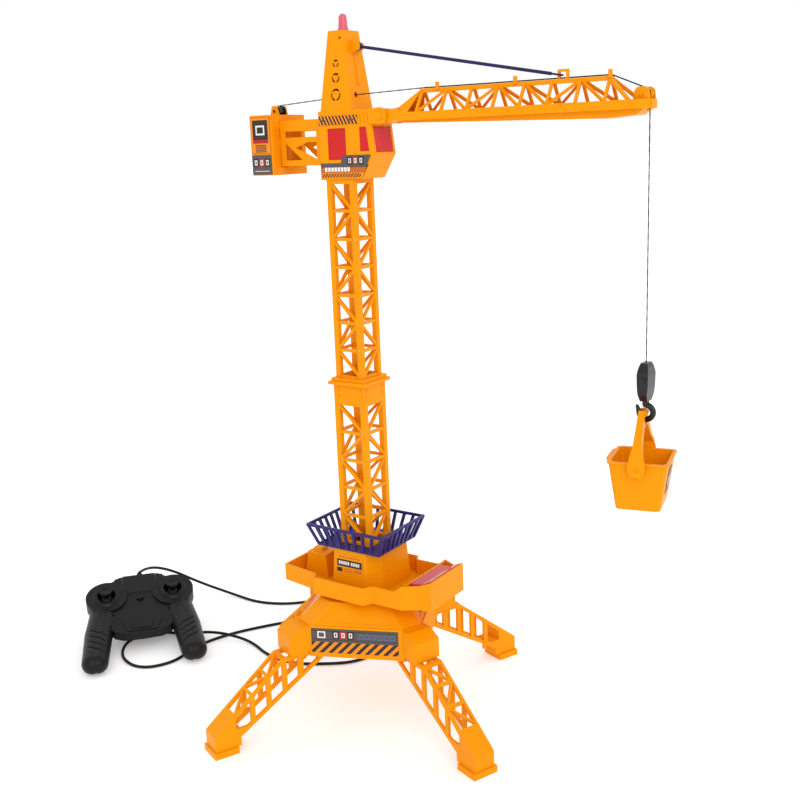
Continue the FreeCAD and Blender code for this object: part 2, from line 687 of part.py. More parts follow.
def tower_head():
    wall = 2.2
    outside = loft(rectangle(19.3, 19.2), CAB_TOP, rectangle(9.5, 13.2), HEAD_TOP)
    inside = loft(rectangle(19.3 - wall, 19.2 - wall), CAB_TOP - 0.1, rectangle(9.5 - wall, 13.2 - wall),
                  HEAD_TOP - 2.5)
    shell = outside.cut(inside)
    vents = [vent(z, radius) for z, radius in ((711, 4.0), (697, 5.0), (680.5, 6.2))]
    vents += [flipped_y(shape) for shape in vents]
    rope_holes = cyl(2.8, V(-25, -4.4, 677.2), V(25, -7.2, 680.4))
    screw_bore = cyl(1.5, V(5, -20, 735.5), V(5, -8, 735.5))
    boss = cyl(3, V(5, -13.4, 735.5), V(5, -9.5, 735.5))
    rib = slab_y([(15.0, 690), (17.6, 690), (13.2, 719), (10.6, 719)], -1.2, 1.2)
    return cut(fuse([shell, boss, rib]), vents + [rope_holes, screw_bore])


def tie_rod_bracket():
    face_x = 19.3 - (726.5 - CAB_TOP) * 9.8 / (HEAD_TOP - CAB_TOP)
    plate = slab_y([(face_x + 0.75, 720.5), (face_x + 3.4, 720.5), (face_x + 2.2, 733),
                    (face_x - 0.8, 733)], -5, 5)
    ears = []
    for y in (-5, 2.7):
        ears.append(slab_y([(face_x + 2, 721), (TIE_ROOT.x, 723), (TIE_ROOT.x, 731), (face_x + 1.6, 732.5)],
                           y, y + 2.3))
        ears.append(cyl(4, V(TIE_ROOT.x, y, TIE_ROOT.z), V(TIE_ROOT.x, y + 2.3, TIE_ROOT.z)))
    pin = cyl(1.5, V(TIE_ROOT.x, -5, TIE_ROOT.z), V(TIE_ROOT.x, 5, TIE_ROOT.z))
    return fuse([plate] + ears + [pin])


def beacon_lamp():
    levels = [(5.6, HEAD_TOP), (5.6, HEAD_TOP + 2), (4.9, HEAD_TOP + 3), (4.2, LAMP_TOP - 4.2)]
    pieces = [Part.makeSphere(4.2, V(0, 0, LAMP_TOP - 4.2))]
    for (radius0, z0), (radius1, z1) in zip(levels, levels[1:]):
        if radius0 == radius1:
            pieces.append(cyl(radius0, V(0, 0, z0), V(0, 0, z1)))
        else:
            pieces.append(cone(radius0, radius1, V(0, 0, z0), V(0, 0, z1)))
    return fuse(pieces)


# Counter-jib and winch

def counter_jib_frame():
    side_profile = [(BOX_FRONT, 611), (CAB_BACK - 0.2, 611), (CAB_BACK - 0.2, 658), (BOX_FRONT, 658)]
    side = slab_y(side_profile, 13, 15)
    windows = [
        [(-72, 640.5), (-30, 640.5), (-30, 646.6), (-72, 646.6)],
        [(-72, 617), (-50, 617), (-72, 635)],
        [(-30, 617), (-30, 635), (-44, 635), (-58, 629.5)],
    ]
    side = cut(side, [slab_y(window, 10, 20) for window in windows])
    top = box(BOX_FRONT, CAB_BACK - 0.2, -13, 13, 656, 658)
    bottom = box(BOX_FRONT, CAB_BACK - 0.2, -13, 13, 611, 613)
    top = top.cut(box(-70, -32, -9, 9, 650, 660))
    bottom = bottom.cut(box(-70, -32, -9, 9, 605, 620))
    return fuse(both_sides(side) + [top, bottom])


def winch_box_half():
    wall = 2.2
    outside = box(BOX_BACK, BOX_FRONT, 0, BOX_HALF, BOX_BOTTOM, BOX_TOP)
    outside = outside.makeChamfer(1.2,
                                  [edge for edge in outside.Edges if edge.BoundBox.YMin > BOX_HALF - 0.1])
    inside = box(BOX_BACK + wall, BOX_FRONT - wall, -1, BOX_HALF - wall, BOX_BOTTOM + wall, BOX_TOP - wall)
    rope_slot = box(-98.5, -83, -1, 6.0, BOX_TOP - 4, BOX_TOP + 1)
    recess = slab_x([(4, 610), (22, 610), (22, 650), (4, 650)], BOX_FRONT - 1, BOX_FRONT + 1)
    brace = bar(V(BOX_FRONT - 0.6, 5, 611), V(BOX_FRONT - 0.6, 21, 649), 3, 1.2, V(0, 1, 0))
    ear = slab_y([(-95.5, BOX_TOP), (-84.5, BOX_TOP), (-87, 674), (-93, 674)], 6.0, 8.2)
    axle_bore = cyl(1.5 + FIT, V(ROLLER.x, 4, ROLLER.z), V(ROLLER.x, 10, ROLLER.z))
    bearing = ring(4, 2 + FIT, V(DRUM.x, BOX_HALF - wall - 4, DRUM.z), V(DRUM.x, BOX_HALF - wall, DRUM.z))
    shell = cut(outside, [inside, rope_slot, recess])
    return fuse([shell, brace, ear, bearing]).cut(axle_bore)


def winch_box_labels():
    back = [box(BOX_BACK + 4, BOX_FRONT - 4, -BOX_HALF - 0.3, -BOX_HALF, z0, z1) for z0,
            z1 in ((641, 659), (603.5, 622))]
    lines = [box(BOX_BACK + 5, BOX_FRONT - 5, -BOX_HALF - 0.3, -BOX_HALF, z, z + 1)
             for z in (625.5, 628.5, 631.5)]
    return back + lines


def winch_motor():
    """Gear motor beside the drum, held between the two halves of the winch box."""
    gear_case = box(-104, -81.2, 13, 22.5, 606, 644)
    can = cyl(8, V(-94.5, -22, 614.6), V(-94.5, 13, 614.6))
    bore = cyl(2 + FIT, V(DRUM.x, 10, DRUM.z), V(DRUM.x, 24, DRUM.z))
    return fuse([gear_case, can]).cut(bore)


def winch_drum():
    """Drum with its turns of rope, two flanges and the shaft they turn on."""
    shaft = cyl(2, V(DRUM.x, -BOX_HALF + 2.4, DRUM.z), V(DRUM.x, BOX_HALF - 2.4, DRUM.z))
    core = cyl(6.6, V(DRUM.x, -9, DRUM.z), V(DRUM.x, 9, DRUM.z))
    turns = [cyl(7.6, V(DRUM.x, y, DRUM.z), V(DRUM.x, y + 0.9, DRUM.z)) for y in range(-7, 7)]
    flanges = [cyl(5.6, V(DRUM.x, y, DRUM.z), V(DRUM.x, y + 1.6, DRUM.z)) for y in (-10.6, 9)]
    return fuse([shaft, core] + turns + flanges)


def guide_roller():
    """Grooved roller and its axle."""
    wheel = cyl(5.6, V(ROLLER.x, -5.6, ROLLER.z), V(ROLLER.x, 5.6, ROLLER.z))
    groove = ring(8, 4.2, V(ROLLER.x, -3.4, ROLLER.z), V(ROLLER.x, 3.4, ROLLER.z))
    axle = cyl(1.5, V(ROLLER.x, -8.6, ROLLER.z), V(ROLLER.x, 8.6, ROLLER.z))
    return fuse([wheel.cut(groove), axle])


# Ropes

def rope_over_cab():
    bend = (ROLLER.x + 95.1)
    corner = V(-95.2, 0, 673.8)
    head_exit = V(17, -7, 679.8)
    return tube([V(DRUM.x - 8.2, 0, DRUM.z), corner, head_exit, V(93.6, ROPE_Y, 682.6)], ROPE_R, bend)[0]


def rope_along_jib():
    """From the first truss node to the point where the rope leaves the tip pulley."""
    top = V(PULLEY.x + 0.9, 0, PULLEY.z + PULLEY_GROOVE + 0.6)
    near = V(JIB_NODES[-1], ROPE_Y, CHORD_TOP + 1.0)
    path = [V(94, ROPE_Y, CHORD_TOP + 1.0), near, top, V(FALL_X, 0, 667.2), V(FALL_X, 0, PULLEY.z)]
    return tube(path, ROPE_R, 2.0)[0]


def hanging_rope():
    return cyl(ROPE_R, V(FALL_X, 0, BLOCK_TOP + 0.1), V(FALL_X, 0, PULLEY.z - 0.1))


# Jib

def jib_channel():
    outline = mirror_y([(73, -16), (321, -16), (331, -5)])
    floor = slab_z(outline, 652, 654)
    walls = [slab_y([(73, 652), (321, 652), (321, 660), (73, 660)], y, y + 1.8) for y in (-16, 14.2)]
    tip_walls = [slab_z([(321, s * 16), (331, s * 5), (329.5, s * 3.6), (320, s * 14.4)], 652, 660)
                 for s in (-1, 1)]
    tip_walls.append(slab_z([(331, -5), (331, 5), (329.2, 4), (329.2, -4)], 652, 660))
    keel_side = [(75, 652), (75, 650), (290, 645), (318, 647), (326, 652)]
    keel = slab_y(keel_side, -11, 11)
    hollow = slab_y([(77, 652.1), (77, 651.4), (289, 646.6), (316, 648.4), (321, 652.1)], -9.4, 9.4)
    return [floor, keel.cut(hollow)] + walls + tip_walls


def jib_root():
    knuckle = cyl(7, V(LUFF.x, -15.9, LUFF.z), V(LUFF.x, 15.9, LUFF.z))
    arm = slab_y([(LUFF.x, 651.5), (76, 652), (76, 662), (LUFF.x, 664.8)], 9, 15.9)
    slope_low = [V(71, -14, 663.5), V(71, 14, 663.5)]
    slope_high = [V(94, 3, CHORD_TOP), V(94, -3, CHORD_TOP)]
    slope = prism(slope_low + slope_high, V(2.0, 0, -2.6))
    cheeks = []
    for sign in (-1, 1):
        cheek = prism([V(71, sign * 14.2, 660), V(84, sign * 14.2, 660), V(94, sign * 2.0, CHORD_TOP - 1)],
                      V(0, sign * 1.6, 0))
        cheeks.append(cheek)
    back = box(71, 74.5, -16, 16, 652, 663.5)
    return [knuckle, slope, back] + both_sides(arm) + cheeks


def jib_web():
    """Top chord, uprights, diagonals and the two front legs."""
    top_z = CHORD_TOP - 2
    low_z = 659
    pieces = [box(92, JIB_NODES[-1] + 2, -3, 3, CHORD_TOP - 4, CHORD_TOP)]
    diagonals = [(122, 94), (122, 150), (178, 150), (178, 206), (206, 234), (262, 234), (262, 290)]
    for sign in (-1, 1):
        top_y = sign * 2
        low_y = sign * 14.8
        for x in JIB_NODES:
            pieces.append(bar(V(x, top_y, top_z), V(x, low_y, low_z), 2.8, 2.2, V(1, 0, 0)))
        for top_x, low_x in diagonals:
            pieces.append(bar(V(top_x, top_y, top_z), V(low_x, low_y, low_z), 2.2, 2.8, V(0, 1, 0.5)))
        pieces.append(bar(V(290, top_y, top_z), V(314, sign * 14.6, 658), 3.2, 3.2, V(0, 1, 0)))
    return pieces


def jib_truss():
    pegs = [cyl(2.0, V(x, -3.3, CHORD_TOP - 2), V(x, -3.3, 687)) for x in (112, 196.8, 290.9)]
    loop = [box(238.8, 241.2, -1.2, 1.2, CHORD_TOP - 1, 690.2),
            box(247.3, 249.7, -1.2, 1.2, CHORD_TOP - 1, 690.2),
            box(238.8, 249.7, -1.2, 1.2, 687.8, 690.2)]
    body = fuse(jib_channel() + jib_root() + jib_web() + pegs + loop)
    pin_bore = cyl(3.0 + FIT, V(LUFF.x, -20, LUFF.z), V(LUFF.x, 20, LUFF.z))
    rope_hole = cyl(3.2, V(FALL_X, 0, 640), V(FALL_X, 0, 656))
    return cut(body, [pin_bore, rope_hole])


def tip_bracket():
    """Two cheeks that hold the tip pulley, on a foot plate with a slot for the rope."""
    foot = box(308, 330, -7.6, 7.6, 654, 655.6).cut(cyl(3.2, V(FALL_X, 0, 650), V(FALL_X, 0, 660)))
    foot = foot.cut(box(FALL_X, 332, -3.2, 3.2, 650, 660))
    cheek = slab_y([(313, 654), (330, 654), (328, 668), (325, 670.5), (318, 670.5), (315, 668)], 5.9, 7.6)
    body = fuse([foot] + both_sides(cheek))
    return body.cut(cyl(1.5 + FIT, V(PULLEY.x, -9, PULLEY.z), V(PULLEY.x, 9, PULLEY.z)))


def tip_pulley():
    profile = [(0, 5.5), (6.4, 5.5), (6.4, 3.6), (4.1, 1.3), (4.1, -1.3), (6.4, -3.6), (6.4, -5.5), (0, -5.5)]
    face = Part.Face(Part.makePolygon([V(r, y, 0) for r, y in profile + [profile[0]]]))
    wheel = face.revolve(V(0, 0, 0), ALONG_Y, 360)
    wheel.translate(PULLEY)
    axle = cyl(1.5, V(PULLEY.x, -8.4, PULLEY.z), V(PULLEY.x, 8.4, PULLEY.z))
    return fuse([wheel, axle])


def tie_rod():
    """Rod with a round eye at the tower head and a long eye round the jib loop's inner post."""
    way = (TIE_TIP - TIE_ROOT).normalize()
    lift = V(-way.z, 0, way.x)
    eye = cyl(3.6, V(TIE_ROOT.x, -2.3, TIE_ROOT.z), V(TIE_ROOT.x, 2.3, TIE_ROOT.z))
    eye_end = TIE_TIP - way * 8.0
    rod = cyl(1.6, TIE_ROOT + way * 2.6, eye_end)
    near = TIE_TIP - way * 5.5
    far = TIE_TIP + way * 0.5
    long_eye = stadium(near, far, 3.5, 1.7, lift).cut(stadium(near, far, 1.9, 4, lift))
    body = fuse([eye, rod, long_eye])
    return body.cut(cyl(1.5 + FIT, V(TIE_ROOT.x, -5, TIE_ROOT.z), V(TIE_ROOT.x, 5, TIE_ROOT.z)))


# Hook and bucket

def hook_block():
    middle = FALL_X
    half_profile = [(3.2, BLOCK_TOP), (4.6, BLOCK_TOP - 4), (5.6, 416), (5.2, 404), (3.6, BLOCK_BOTTOM)]
    profile = [(middle + x, z) for x, z in half_profile] + [(middle - x, z) for x,
                                                            z in reversed(half_profile)]
    body = slab_y(profile, -9.5, 9.5)
    ends = [[(9.6, BLOCK_TOP + 1), (9.6, 418), (5.2, BLOCK_TOP + 1)],
            [(9.6, BLOCK_BOTTOM - 1), (9.6, 398), (5.0, BLOCK_BOTTOM - 1)]]
    corners = [shape for end in ends for shape in both_sides(slab_x(end, middle - 8, middle + 8))]
    bores = [cyl(1.8, V(middle, -12, 411), V(middle, 12, 411)),
             cyl(2.5 + FIT, V(middle, 0, BLOCK_BOTTOM - 1), V(middle, 0, 397.6))]
    return cut(body, corners + bores)


def block_pin():
    pin = cyl(1.8, V(FALL_X, -10.4, 411), V(FALL_X, 10.4, 411))
    heads = [cyl(3.2, V(FALL_X, y, 411), V(FALL_X, y + 0.9, 411)) for y in (-10.4, 9.5)]
    return fuse([pin] + heads)


def hook():
    middle = 6.75
    rod = 2.75
    start = THROAT + V(0, 0, middle)
    section = Part.Face(Part.Wire(Part.makeCircle(rod, start, V(1, 0, 0))))
    curve = section.revolve(THROAT, ALONG_Y, 262)
    tip_from = THROAT + V(middle * math.sin(math.radians(262)), 0, middle * math.cos(math.radians(262)))
    tip_to = V(318.3, 0, 385)
    tip = fuse([cone(rod, 1.6, tip_from, tip_to), Part.makeSphere(1.6, tip_to)])
    shank = cyl(2.5, V(FALL_X, 0, 384.9), V(FALL_X, 0, 397))
    collar = cyl(3.2, V(FALL_X, 0, 386.5), V(FALL_X, 0, BLOCK_BOTTOM - 0.4))
    throat = cyl(4.0, V(THROAT.x, -6, THROAT.z), V(THROAT.x, 6, THROAT.z))
    return fuse([curve, tip, Part.makeSphere(rod, tip_from), shank, collar]).cut(throat)


def in_bucket(shape):
    copy = shape.copy()
    copy.translate(V(FALL_X, 0, 0))
    copy.rotate(V(FALL_X, 0, 0), UP, BUCKET_YAW)
    return copy


def bucket_bail():
    bar_z = THROAT.z - 0.8
    handle = cyl(2.5, V(0, -6.5, bar_z), V(0, 6.5, bar_z))
    half = [(0, 382.2), (7.8, 382.2), (34, 347), (34, 326), (30, 326), (30, 344), (8.4, 367), (0, 367)]
    side = [(2.6, 384), (3.4, 366), (4.2, 353), (8, PIN_Z + 3), (8, PIN_Z - 2), (5, 326)]
    taper = slab_y([(BAIL_X + x, z) for x, z in side] + [(BAIL_X - x, z) for x, z in reversed(side)], -40, 40)
    frame = [arm.common(taper) for arm in both_sides(slab_x(half, BAIL_X - 9, BAIL_X + 9))]
    hole = slab_x([(-4.8, 368), (4.8, 368), (4.8, 384), (-4.8, 384)], -8, 8)
    bosses = [cyl(6, V(BAIL_X, y, PIN_Z), V(BAIL_X, y + 3.2, PIN_Z)) for y in (-33.2, 30)]
    body = fuse([fuse(frame).cut(hole), handle] + bosses)
    return in_bucket(body.cut(cyl(2.2 + FIT, V(BAIL_X, -40, PIN_Z), V(BAIL_X, 40, PIN_Z))))


def bucket_section(half_x, half_y, shift):
    corner = 3.0
    flat_x = half_x - corner
    flat_y = half_y - corner
    points = [(-half_x, -flat_y), (-flat_x, -half_y), (flat_x, -half_y), (half_x, -flat_y),
              (half_x, flat_y), (flat_x, half_y), (-flat_x, half_y), (-half_x, flat_y)]
    return [(x + shift, y) for x, y in points]


def bucket():
    wall = 2.0
    shift = BUCKET_SHIFT
    outside = loft(bucket_section(20.4, 25, shift), BUCKET_BOTTOM, bucket_section(27.2, 28.2, shift),
                   BUCKET_TOP)
    inside = loft(bucket_section(20.4 - wall, 25 - wall, shift), BUCKET_BOTTOM + wall,
                  bucket_section(27.2 - wall, 28.2 - wall, shift), BUCKET_TOP + 0.1)
    rim = slab_z(bucket_section(28.2, 29.2, shift), BUCKET_TOP - 2, BUCKET_TOP)
    lip = slab_z([(-26.6 + shift, -22), (-26.6 + shift, 22), (-31 + shift, 15), (-31 + shift, -15)],
                 BUCKET_TOP - 2, BUCKET_TOP)
    pins = [cyl(2.2, V(BAIL_X, y, PIN_Z), V(BAIL_X, y + 6.4, PIN_Z)) for y in (-33.4, 27)]
    return in_bucket(cut(fuse([outside, rim, lip] + pins), [inside]))


def bucket_label():
    lean = (27.2 - 20.4) / (BUCKET_TOP - BUCKET_BOTTOM)
    x0 = 20.4 + lean * (305 - BUCKET_BOTTOM) + BUCKET_SHIFT
    x1 = 20.4 + lean * (329 - BUCKET_BOTTOM) + BUCKET_SHIFT
    return in_bucket(slab_y([(x0, 305), (x0 + 0.3, 305), (x1 + 0.3, 329), (x1, 329)], -10, 10))


# Controller: built level, with x across the grips and y to the rear, then turned to its place

def on_face(shape):
    """Moves a shape drawn on the sloping face (z = height above the face) to the level frame."""
    copy = shape.copy()
    copy.rotate(V(0, 0, 0), V(1, 0, 0), PAD_TILT)
    copy.translate(V(0, 0, PAD_FACE_Z))
    return copy


def placed(shape):
    copy = shape.copy()
    copy.rotate(V(0, 0, 0), UP, PAD_HEADING)
    copy.translate(PAD_ORIGIN)
    return copy


def face_point(x, y, z):
    tilt = math.radians(PAD_TILT)
    return V(x, y * math.cos(tilt) - z * math.sin(tilt), PAD_FACE_Z + y * math.sin(tilt) + z * math.cos(tilt))


def capsule(start, radius0, end, radius1):
    return fuse([Part.makeSphere(radius0, start), cone(radius0, radius1, start, end),
                 Part.makeSphere(radius1, end)])


def pad_block():
    """Outside of the whole controller as one block."""
    half = [(0, 37), (26, 36.5), (35, 30), (46, 22), (52, 2), (52, -24), (47, -46), (36, -63), (24, -68),
            (0, -69)]
    outline = half + [(-x, y) for x, y in reversed(half[1:-1])]
    hump = loft([(-27, 4), (27, 4), (24, 36.4), (-24, 36.4)], PAD_BODY_TOP - 1,
                [(-23, 8), (23, 8), (20, 34), (-20, 34)], 1.6)
    panel = slab_z([(-26, -48), (26, -48), (19, -66), (-19, -66)], PAD_BODY_TOP - 1, PAD_BODY_TOP + 0.8)
    plaque = slab_z([(-15, -53), (15, -53), (11, -62), (-11, -62)], PAD_BODY_TOP, PAD_BODY_TOP + 1.6)
    pieces = [on_face(shape) for shape in (slab_z(outline, -16, PAD_BODY_TOP), hump, panel, plaque)]
    for sign in (-1, 1):
        pieces.append(on_face(cyl(27, V(sign * STICK_X, 0, -18), V(sign * STICK_X, 0, 0.6))))
        for side in (-GRIP_SPREAD, GRIP_SPREAD):
            root = V(sign * 47 + side, -12, -16.4)
            middle = V(sign * 56 + side, -62, GRIP_MIDDLE_Z)
            pieces.append(on_face(capsule(root, 15.6, middle, GRIP_MIDDLE_R)))
            pieces.append(on_face(capsule(middle, GRIP_MIDDLE_R,
                                          V(sign * 61 + side, GRIP_END_Y, GRIP_END_Z), GRIP_END_R)))
    compartment = box(-32, 32, -6, 34, 0.3, 80)
    above = on_face(box(-90, 90, -160, 90, -3, 80))
    pieces.append(compartment.cut(above))
    return fuse(pieces)


def grip_grooves():
    """Four slanting finger grooves across the top of each grip."""
    grooves = []
    for sign in (-1, 1):
        for k in range(4):
            part = 0.12 + 0.2 * k
            x = sign * (56 + 5 * part)
            y = -62 + (GRIP_END_Y + 62) * part
            z = GRIP_MIDDLE_Z + (GRIP_END_Z - GRIP_MIDDLE_Z) * part
            z += GRIP_MIDDLE_R + (GRIP_END_R - GRIP_MIDDLE_R) * part
            grooves.append(on_face(bar(V(x - sign * 11, y - 7, z - 0.7), V(x + sign * 11, y + 7, z - 0.7),
                                       3.2, 1.4, UP)))
    return grooves


def above_split():
    half_space = box(-120, 120, -220, 160, 0, 160)
    half_space.rotate(V(0, 0, 0), V(1, 0, 0), 15.9)
    half_space.translate(V(0, -5.9, 43.4))
    return half_space


def pad_hollows():
    hollows = [on_face(box(-34, 34, -34, 30, -13, PAD_BODY_TOP - 2.3)), box(-28, 28, -3, 31, 2.5, 40)]
    for sign in (-1, 1):
        hollows.append(on_face(cyl(14, V(sign * STICK_X, 0, -16), V(sign * STICK_X, 0, -2))))
        hollows.append(on_face(cyl(12, V(sign * STICK_X, 0, -3), V(sign * STICK_X, 0, 4))))
    hollows.append(on_face(box(-5, 5, -11.6, -7.4, -4, 2)))
    for x, y in PAD_SCREWS:
        hollows.append(cyl(1.5, V(x, y, -1), V(x, y, 60)))
    return hollows


def controller_shells():
    block = pad_block()
    door_opening = box(-28.2, 28.2, -3.2, 31.2, 0, 2.5)
    block = cut(block, pad_hollows() + grip_grooves() + [door_opening])
    top = block.common(above_split())
    bottom = block.cut(above_split())
    return placed(top), placed(bottom)


def battery_door():
    return placed(box(-28, 28, -3, 31, 0.3, 2.4))


def batteries():
    cells = []
    for y, z in ((4.6, 10), (19.4, 10), (12, 23)):
        cells.append(cyl(7, V(-25, y, z), V(24, y, z)))
        cells.append(cyl(2.4, V(24, y, z), V(25.4, y, z)))
    return [placed(cell) for cell in cells]


def controller_board():
    board = box(-33, 33, -33, 29, -12.4, -10.8)
    holes = [box(-29, 29, -8, 40, -14, -9)]
    return placed(on_face(cut(board, holes)))


def stick_collars():
    rings = []
    for sign in (-1, 1):
        low = V(sign * STICK_X, 0, 0.6)
        rings.append(placed(on_face(cone(19, 16, low, low + V(0, 0, 3)).cut(cyl(12, low - UP,
                                                                                low + UP * 4)))))
    return rings


def stick(sign):
    """Thumb stick: a ball at the pivot, a stem and a hollow-topped cap."""
    x = sign * STICK_X
    ball = Part.makeSphere(9.5, V(x, 0, STICK_PIVOT)).common(box(x - 12, x + 12, -12, 12, STICK_PIVOT - 5, 3))
    stem = cyl(4, V(x, 0, STICK_PIVOT), V(x, 0, 10))
    cap = fuse([cone(6, 8.6, V(x, 0, 7), V(x, 0, 9.5)), cyl(8.6, V(x, 0, 9.5), V(x, 0, 13))])
    dish = Part.makeSphere(14, V(x, 0, 25.6))
    return placed(on_face(fuse([ball, stem, cap.cut(dish)])))


def power_switch():
    slider = box(-2.6, 2.6, -11.2, -7.8, -4, 0.4)
    ridges = [box(x, x + 0.7, -11.2, -7.8, 0.4, 1.1) for x in (-1.8, -0.35, 1.1)]
    return placed(on_face(fuse([slider] + ridges)))


def controller_screws():
    screws = []
    for x, y in PAD_SCREWS:
        surface = PAD_FACE_Z + y * math.tan(math.radians(PAD_TILT)) - 18.6
        screws.append(placed(cyl(1.5, V(x, y, surface + 4), V(x, y, surface + 14))))
    return screws


def strain_relief():
    low = face_point(1.4, 33, -8.5)
    high = face_point(1.4, 47, -8.5)
    body = cone(4.6, 3.0, low, high)
    rings = [cyl(4.4 - 0.3 * k, low + (high - low) * (0.3 + 0.17 * k), low + (high - low) * (0.38 + 0.17 * k))
             for k in range(4)]
    return placed(cut(fuse([body] + rings), [pad_block()]))


def cable_gland():
    sleeve = cyl(4.9, GLAND_AT - UP * 4, GLAND_AT + UP * 5)
    flange = cyl(6.6, GLAND_AT - UP * 4, GLAND_AT - UP * 1.05)
    return fuse([sleeve, flange]).cut(cyl(CABLE_R + 0.05, GLAND_AT - UP * 5, GLAND_AT + UP * 6))


def control_cable():
    body, path, radii = tube(CABLE_ROUTE, CABLE_R)
    wanted = math.pi * CABLE_R ** 2 * path.Length
    print(f"control cable: {len(CABLE_ROUTE)} points, length {path.Length:.0f} mm")
    print(f"smallest bend {min(radii):.1f} mm, lowest {body.BoundBox.ZMin:.2f} mm")
    print(f"volume {body.Volume:.0f} mm3, section times length {wanted:.0f} mm3")
    return body


# Everything in one list of nodes

def main():
    os.makedirs("parts", exist_ok=True)
    top_shell, bottom_shell = controller_shells()
    save("base_shell", base_shell())
    save("base_cover", base_cover())
    for name, angle in LEG_HEADINGS.items():
        shape = back_right_leg() if name == "leg_back_right" else leg()
        save(name, in_base(shape, angle))
    save("base_screws", leg_screws() + cover_screws())
    save("slew_motor", slew_motor())
    save("motor_bracket", motor_bracket())
    save("turntable_race", turntable_race())
    save("slew_pinion", slew_pinion())
    save("base_labels", base_labels())
    save("cable_sleeves", [cable_gland(), strain_relief()])
    save("control_cable", control_cable())
    save("controller_top_shell", top_shell)
    save("controller_bottom_shell", bottom_shell)
    save("battery_door", battery_door())
    save("batteries", batteries())
    save("controller_board", controller_board())
    save("controller_screws", controller_screws())
    save("stick_collars", stick_collars())
    save("left_stick", stick(-1))
    save("right_stick", stick(1))
    save("power_switch", power_switch())
    save("slew_gear", slew_gear())
    save("deck_tray", deck_tray())
    save("deck_console", deck_console())
    save("nose_window", nose_window())
    save("pedestal", pedestal())
    save("railing_basket", railing_basket())
    save("mast_lower", mast_lower())
    save("mast_upper", mast_upper())
    save("mast_screws", mast_screws())
    save("mast_wire", mast_wire())
    save("cab_left_shell", cab_shell(-1))
    save("cab_right_shell", cab_shell(1))
    save("cab_windows", [cab_windscreen()] + cab_side_windows())
    save("platform_labels", [pedestal_label()] + cab_labels() + winch_box_labels())
    save("jib_hinge_pin", jib_hinge_pin())
    save("tower_head", tower_head())
    save("tie_rod_bracket", tie_rod_bracket())
    save("beacon_lamp", beacon_lamp())
    save("counter_jib_frame", counter_jib_frame())
    save("winch_box_front", flipped_y(winch_box_half()))
    save("winch_box_rear", winch_box_half())
    save("winch_motor", winch_motor())
    save("winch_drum", winch_drum())
    save("guide_roller", guide_roller())
    save("rope_over_cab", rope_over_cab())
    save("rope_along_jib", rope_along_jib())
    save("hanging_rope", hanging_rope())
    save("jib_truss", [jib_truss(), tip_bracket()])
    save("tip_pulley", tip_pulley())
    save("tie_rod", tie_rod())
    save("hook_block", hook_block())
    save("block_pin", block_pin())
    save("hook", hook())
    save("bucket_bail", bucket_bail())
    save("bucket", bucket())
    save("bucket_label", bucket_label())


main()
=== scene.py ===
import json
import math

import bpy
from mathutils import Matrix, Vector


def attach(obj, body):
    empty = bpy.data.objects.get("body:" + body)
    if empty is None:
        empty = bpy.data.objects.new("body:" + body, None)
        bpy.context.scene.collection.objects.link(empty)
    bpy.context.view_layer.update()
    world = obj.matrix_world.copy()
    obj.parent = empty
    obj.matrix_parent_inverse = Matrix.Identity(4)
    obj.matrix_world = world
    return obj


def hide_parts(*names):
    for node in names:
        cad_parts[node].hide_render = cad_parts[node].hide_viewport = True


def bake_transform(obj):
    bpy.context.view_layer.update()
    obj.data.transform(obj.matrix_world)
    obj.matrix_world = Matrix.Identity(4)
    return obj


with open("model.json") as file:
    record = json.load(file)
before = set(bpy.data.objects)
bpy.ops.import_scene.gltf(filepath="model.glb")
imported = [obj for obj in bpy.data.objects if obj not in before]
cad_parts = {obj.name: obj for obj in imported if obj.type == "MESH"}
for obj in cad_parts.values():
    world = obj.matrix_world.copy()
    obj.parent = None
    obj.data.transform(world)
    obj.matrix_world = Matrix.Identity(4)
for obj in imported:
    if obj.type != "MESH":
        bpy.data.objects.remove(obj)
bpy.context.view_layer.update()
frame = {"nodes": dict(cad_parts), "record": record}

# Toy tower crane. Z up, X along the jib. Lengths below are millimetres measured from the slewing axis,
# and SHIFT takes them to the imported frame. The hoist rope hangs at FALL_X.
NODES = frame["nodes"]
MM = 0.001
SHIFT = Vector((40.98, -1.05, 0))
FALL_X = 326.5


def in_frame(point):
    """A point in millimetres from the slewing axis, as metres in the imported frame."""
    return (Vector(point) + SHIFT) * MM


# Colours, linear RGB

YELLOW = (0.84, 0.30, 0.0005)
YELLOW_DEEP = (0.82, 0.262, 0.0005)
NAVY = (0.014, 0.010, 0.13)
RED = (0.54, 0.007, 0.003)
PINK = (0.80, 0.13, 0.22)
BLACK = (0.004, 0.004, 0.0042)
LABEL_DARK = (0.035, 0.022, 0.016)
LABEL_GREY = (0.085, 0.075, 0.07)
LABEL_ORANGE = (0.85, 0.25, 0.006)
LABEL_RUST = (0.50, 0.12, 0.012)
WHITE = (0.75, 0.74, 0.72)


# Materials

def material(name, colour, roughness=0.4, metallic=0.0, transmission=0.0, specular=0.5):
    mat = bpy.data.materials.new(name)
    mat.use_nodes = True
    shader = mat.node_tree.nodes["Principled BSDF"]
    shader.inputs["Base Color"].default_value = (*colour, 1.0)
    shader.inputs["Roughness"].default_value = roughness
    shader.inputs["Metallic"].default_value = metallic
    shader.inputs["Transmission Weight"].default_value = transmission
    shader.inputs["Specular IOR Level"].default_value = specular
    return mat


def object_noise(tree, scale, detail):
    coords = tree.nodes.new("ShaderNodeTexCoord")
    noise = tree.nodes.new("ShaderNodeTexNoise")
    noise.inputs["Scale"].default_value = scale
    noise.inputs["Detail"].default_value = detail
    tree.links.new(coords.outputs["Object"], noise.inputs["Vector"])
    return noise


